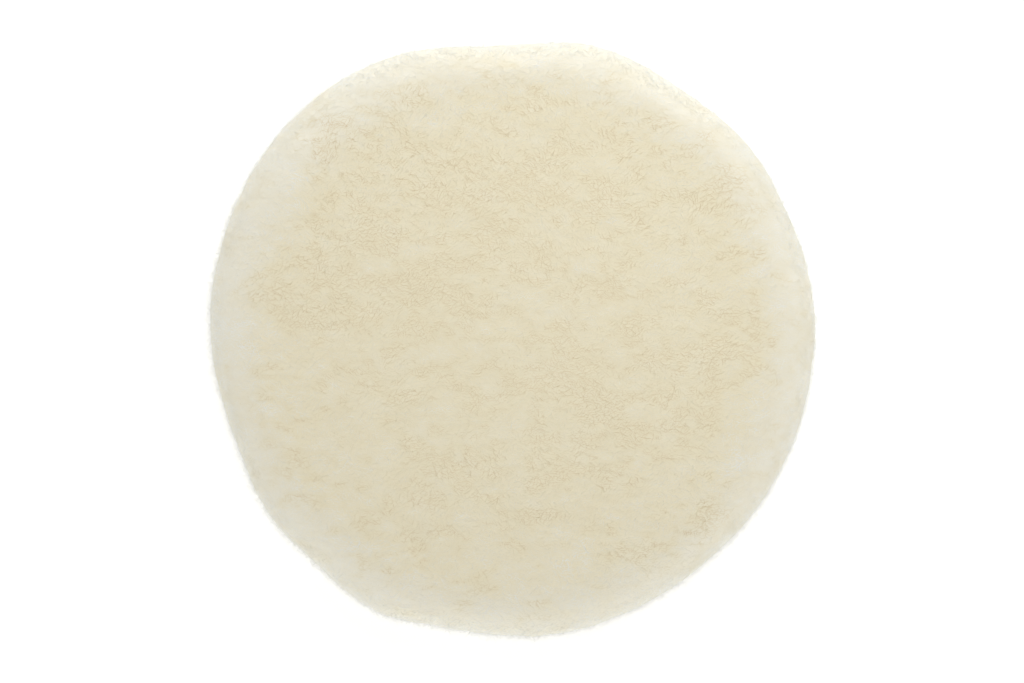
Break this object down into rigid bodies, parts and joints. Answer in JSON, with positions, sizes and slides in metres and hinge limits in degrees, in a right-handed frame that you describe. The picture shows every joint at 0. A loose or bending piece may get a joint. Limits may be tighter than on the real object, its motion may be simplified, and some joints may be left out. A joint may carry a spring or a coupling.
{
  "type": "polishing pad",
  "caption": "Round lambswool polishing pad: thick cream fleece on sheepskin, sewn to cloth, over a foam cushion with a hook-and-loop face.",
  "frame": {"origin": "centre of the loop face, under the middle of the wool's outline; z = 0 is the plane of the loop face", "axes": "+Z out of the wool, along the pad's spin axis; +X to the picture's right and +Y to its top, seen from the wool side"},
  "size_m": [0.1604, 0.1575, 0.0251],
  "materials": {
    "wool": "matte",
    "hide": "matte",
    "glue": "satin",
    "cotton_cloth": "matte",
    "thread": "satin",
    "foam": "matte",
    "loop_cloth": "matte",
    "velour": "matte"
  },
  "bodies": {
    "root": {"wool_fleece": "wool", "sheepskin_hide": "hide", "hide_glue_film": "glue", "backing_cloth": "cotton_cloth", "seam_needle_thread": "thread", "seam_bobbin_thread": "thread", "foam_glue_film": "glue", "foam_cushion": "foam", "loop_glue_film": "glue", "loop_base_cloth": "loop_cloth", "loop_velour": "velour"}
  },
  "joints": []
}
